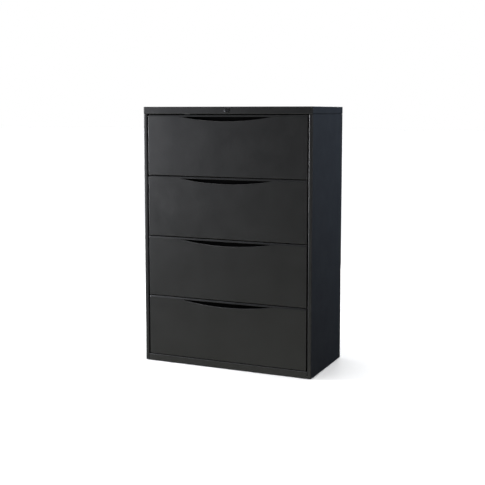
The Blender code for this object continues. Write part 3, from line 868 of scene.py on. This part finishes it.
def drawer_tray(number):
    """Tray: folded floor and ends, side walls with a rail slot and a turned-in rim, beads in the floor."""
    node = f"drawer_tray_{number}"
    body = f"drawer_{number}"
    low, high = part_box(node)
    skin = SHEET / 2
    bend = SMALL_BEND
    rim = TRAY_RIM
    path = [
        (low.y + rim, high.z - skin), (low.y + skin, high.z - skin), (low.y + skin, low.z + skin),
        (high.y - skin, low.z + skin), (high.y - skin, high.z - skin), (high.y - rim, high.z - skin),
    ]
    parts = [folded(f"{node}_floor", path, "YZ", low.x + bend, high.x - bend, bend)]
    wall_height = high.z - low.z - 2 * bend
    for side, x in ((-1, low.x), (1, high.x)):
        wall = grown(
            f"{node}_wall", SLOTTED, INSIDE, Width=high.y - low.y, Height=wall_height,
            Slot_Width=0.003, Slot_Height=0.012, Slots=1, First=wall_height - 0.014,
        )
        inner = x if side < 0 else x - SHEET
        wall.transform(Matrix.Translation((inner, (low.y + high.y) / 2, low.z + bend)))
        parts.append(wall)
        middle = x - side * skin
        top = [(x - side * rim, high.z - skin), (middle, high.z - skin), (middle, high.z - bend)]
        foot = [(x - side * 0.006, low.z + skin), (middle, low.z + skin), (middle, low.z + bend)]
        for line in (top, foot):
            parts.append(folded(f"{node}_fold", line, "XZ", low.y, high.y, 0.0012, steps=4))
    mesh = joined(f"{node}_folded", parts)
    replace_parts(show(f"{node}_folded", mesh, INSIDE, body), node)
    length = high.y - low.y - 0.08
    ribs = grown(
        f"tray_beads_{number}", BEADS, INSIDE, Start=(low.x + 0.09, low.y + 0.04, low.z + SHEET),
        Step=(TRAY_BEAD_STEP, 0.0, 0.0), Count=TRAY_BEADS, Length=length,
    )
    show(f"tray_beads_{number}", ribs, INSIDE, body)


def slide_details(number):
    """Ball rows between a slide's three members, and the strips that space them."""
    for hand, side in (("left", -1), ("right", 1)):
        outer_low, outer_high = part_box(f"slide_outer_{number}_{hand}")
        middle_low, middle_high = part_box(f"slide_middle_{number}_{hand}")
        inner_low, inner_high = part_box(f"slide_inner_{number}_{hand}")
        length = outer_high.y - outer_low.y
        half_way = outer_low.y + length / 2
        balls, strips = [], []
        rows = (
            (outer_low, outer_high, middle_low, middle_high, half_way + 0.01),
            (middle_low, middle_high, inner_low, inner_high, outer_low.y + 0.012),
        )
        for wide_low, wide_high, slim_low, slim_high, start in rows:
            near, far = max(wide_low.x, slim_low.x), min(wide_high.x, slim_high.x)
            x = (near + far) / 2
            for shell, core in ((wide_high.z - SHEET, slim_high.z), (wide_low.z + SHEET, slim_low.z)):
                z = (shell + core) / 2
                radius = abs(shell - core) / 2 - 0.0001
                first = (x, start, z)
                balls.append(heads("balls", first, (0, BALL_STEP, 0), BALLS, "up", radius, 1.0, BEARING))
                corner = Vector((x - 0.0018, start - 0.006, z - 0.0003))
                size = Vector((0.0036, RETAINER_LENGTH, 0.0006))
                strips.append(block("strip", corner, corner + size, 0.0002))
        body = f"slide_middle_{number}"
        show(f"slide_balls_{number}_{hand}", joined("balls", balls), BEARING, body)
        show(f"slide_retainers_{number}_{hand}", joined("strips", strips), ZINC, body)


# --- Lock and feet ----------------------------------------------------------------------------


def lock():
    """Turned bezel round a plug with a keyway cut in its face."""
    low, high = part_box("lock_housing")
    x, z = (low.x + high.x) / 2, (low.z + high.z) / 2
    radius = (high.x - low.x) / 2
    bore, barrel = 0.0066, 0.0095
    profile = [
        (bore, high.y - low.y), (bore, 0.0012), (bore + 0.0006, 0.0002), (bore + 0.0012, 0.0),
        (radius - 0.0016, 0.0), (radius - 0.0006, 0.0003), (radius, 0.0011), (radius, 0.0016),
        (barrel, 0.0016), (barrel, high.y - low.y),
    ]
    bezel = lathe("lock_bezel", profile, (x, low.y, z), "Y", 64)
    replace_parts(show("lock_bezel", bezel, LOCK_PLATE, "cabinet"), "lock_housing")

    plug_low, plug_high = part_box("lock_plug")
    plug_radius = (plug_high.x - plug_low.x) / 2
    length = plug_high.y - plug_low.y
    tail, tail_start = 0.003, length - 0.003
    profile = [
        (0, length), (tail, length), (tail, tail_start), (plug_radius, tail_start),
        (plug_radius, 0.0008), (plug_radius - 0.0005, 0.0001), (plug_radius - 0.0009, 0.0), (0, 0.0),
    ]
    plug = lathe("lock_plug_blank", profile, (x, plug_low.y, z), "Y", 48)
    near, deep = plug_low.y - 0.002, plug_low.y + 0.009
    slot = joined("keyway", [
        block("keyway_blade", (x - 0.0009, near, z - 0.0041), (x + 0.0005, deep, z + 0.0041), 0.0001),
        block("keyway_ward", (x - 0.0004, near, z - 0.0012), (x + 0.0015, deep, z + 0.0019), 0.0001),
    ])
    cutter = bpy.data.objects.new("keyway_cutter", slot)
    bpy.context.scene.collection.objects.link(cutter)
    carve = {"operation": "DIFFERENCE", "object": cutter, "use_self": True}
    cut = solid_from("lock_plug_face", plug, [("BOOLEAN", carve)])
    bpy.data.objects.remove(cutter, do_unlink=True)
    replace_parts(show("lock_plug_face", cut, LOCK_PLATE, "lock_plug"), "lock_plug")


def glides():
    """Levelling glides: nylon foot, hexagon for the spanner and threaded stem."""
    for row in ("front", "rear"):
        for hand in HANDS:
            node = f"glide_{row}_{hand}"
            low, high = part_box(node)
            x, y = (low.x + high.x) / 2, (low.y + high.y) / 2
            foot = (high.x - low.x) / 2
            profile = [
                (0, 0), (foot - 0.0012, 0), (foot - 0.0004, 0.0004), (foot, 0.0014), (foot, 0.0050),
                (foot - 0.0010, 0.0064), (foot - 0.0030, 0.0070), (0.0, 0.0070),
            ]
            base = lathe(f"{node}_foot", profile, (x, y, low.z), "Z", 48)
            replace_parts(show(f"{node}_foot", base, NYLON, node), node)
            bm = bmesh.new()
            bmesh.ops.create_cone(
                bm, cap_ends=True, segments=6, radius1=HEX, radius2=HEX, depth=0.006,
                matrix=Matrix.Translation((x, y, 0.0101)),
            )
            nut = bpy.data.meshes.new("nut")
            bm.to_mesh(nut)
            bm.free()
            nut = solid_from("nut", nut, [bevel(0.0005, 2)])
            top = high.z
            profile = [(0, 0.012), (STEM, 0.012), (STEM, top - 0.0008), (STEM - 0.0008, top), (0, top)]
            stem = lathe(f"{node}_stem", profile, (x, y, 0), "Z", 24)
            rib = grown(
                f"{node}_thread", THREAD, ZINC,
                Radius=STEM - 0.0001, Length=top - 0.016, Pitch=THREAD_PITCH, Rib=0.00062,
            )
            rib.transform(Matrix.Translation((x, y, 0.0142)))
            mesh = joined(f"{node}_screw", [nut, stem, rib])
            show(f"{node}_screw", mesh, ZINC, node)


# --- Stage, light and camera ------------------------------------------------------------------


def aim(thing, target):
    """Turns a lamp to face target."""
    thing.rotation_euler = (Vector(target) - thing.location).to_track_quat("-Z", "Y").to_euler()


def softbox(name, place, target, width, height, power, colour=(1, 1, 1)):
    """A flat lamp that shows in the paint but not as a thing in the room."""
    data = bpy.data.lights.new(name, "AREA")
    data.shape = "RECTANGLE"
    data.size, data.size_y = width, height
    data.energy = power
    data.color = colour
    lamp = bpy.data.objects.new(name, data)
    bpy.context.scene.collection.objects.link(lamp)
    lamp.location = place
    lamp.visible_camera = False
    aim(lamp, target)


def stage():
    """Pale floor, lit evenly from straight above. It stays out of the paint's reflections."""
    mesh = bpy.data.meshes.new("floor")
    bm = bmesh.new()
    bmesh.ops.create_grid(bm, x_segments=2, y_segments=2, size=60.0)
    bm.to_mesh(mesh)
    bm.free()
    made, tree, shader, place = blank_material("pale_floor")
    mottle = remap(tree, noise(tree, place, 0.6), 0.0, 1.0)
    tree.feed(shader, "Base Color", blend_colours(tree, mottle, (0.80, 0.80, 0.80), (0.83, 0.83, 0.83)))
    shader.inputs["Roughness"].default_value = 0.9
    shader.inputs["Specular IOR Level"].default_value = 0.1
    mesh.materials.append(made)
    floor = bpy.data.objects.new("floor", mesh)
    bpy.context.scene.collection.objects.link(floor)
    floor.visible_glossy = False


def studio():
    """White surround for the camera. The paint sees a dim room, with a glow low in front and one behind."""
    world = bpy.data.worlds.new("studio")
    bpy.context.scene.world = world
    world.use_nodes = True
    room = Tree(world.node_tree)
    white = world.node_tree.nodes["Background"]
    white.inputs["Color"].default_value = (1.0, 1.0, 1.0, 1)
    direction = room.add("ShaderNodeTexCoord").outputs["Generated"]
    aim_at = room.add("ShaderNodeSeparateXYZ", None, Vector=direction)

    def glow(colour, level, ramps):
        strength = level
        for axis, start, end in ramps:
            ramp = room.add(
                "ShaderNodeMapRange", {"interpolation_type": "SMOOTHSTEP"},
                Value=aim_at.outputs[axis], From_Min=start, From_Max=end,
            )
            strength = sum_up(room, "MULTIPLY", strength, ramp)
        return room.add("ShaderNodeBackground", None, Color=(*colour, 1), Strength=strength)

    dim = glow((0.94, 0.97, 1.0), 0.012, [])
    low_front = glow((1.0, 1.0, 0.86), 0.90, [("Y", 0.0, -0.6), ("Z", -0.16, -0.30)])
    behind = glow((0.68, 0.84, 1.12), 0.36, [("Y", 0.3, 0.9), ("Z", -0.45, 0.4)])
    both = room.add("ShaderNodeAddShader")
    room.feed(both, 0, dim)
    room.feed(both, 1, low_front)
    whole = room.add("ShaderNodeAddShader")
    room.feed(whole, 0, both)
    room.feed(whole, 1, behind)
    seen = room.add("ShaderNodeMixShader")
    room.feed(seen, 0, room.add("ShaderNodeLightPath").outputs["Is Camera Ray"])
    room.feed(seen, 1, whole)
    room.feed(seen, 2, white)
    room.feed(world.node_tree.nodes["World Output"], "Surface", seen)

    ceiling = bpy.data.lights.new("ceiling", "SUN")
    ceiling.energy = 4.1
    ceiling.angle = math.radians(60)
    lamp = bpy.data.objects.new("ceiling", ceiling)
    bpy.context.scene.collection.objects.link(lamp)
    lamp.location = (0, 0, 4)
    softbox("key", (-2.5, -1.15, 1.1), (0, 0, 0.7), 0.9, 1.4, 118, (0.975, 0.985, 1.03))
    softbox("fill", (-1.8, -2.6, 1.25), (0, 0, 0.9), 1.0, 1.2, 1.6, (0.95, 0.97, 1.08))
    softbox("rim", (3.2, -0.9, 1.3), (0, 0, 0.9), 0.7, 1.6, 12)
    softbox("header", (-0.8, -2.6, 3.4), (0, 0, 1.0), 2.4, 0.9, 3)
    softbox("back", (-0.3, 3.0, 1.1), (0, 0, 0.7), 0.6, 1.6, 30)
    view = bpy.context.scene.view_settings
    view.view_transform = "Standard"
    view.look = "None"


def camera():
    """A long lens at about the height of the top, from the right of the front, looking slightly down."""
    data = bpy.data.cameras.new("camera")
    data.sensor_width = 36.0
    data.lens = 68.45
    data.shift_y = -0.075
    eye = bpy.data.objects.new("camera", data)
    bpy.context.scene.collection.objects.link(eye)
    eye.location = (1.9228, -4.3424, 1.287)
    pitch, yaw = math.radians(90 - 5.796), math.radians(23.946)
    eye.rotation_euler = (pitch, 0.0, yaw)
    bpy.context.scene.camera = eye


camera()
studio()
stage()
top_cap()
side_panels()
back_and_base()
uprights()
case_fasteners()
painted_nodes()
for index in DRAWERS:
    drawer_front(index)
    pull_cup(index)
    drawer_tray(index)
    slide_details(index)
lock()
glides()
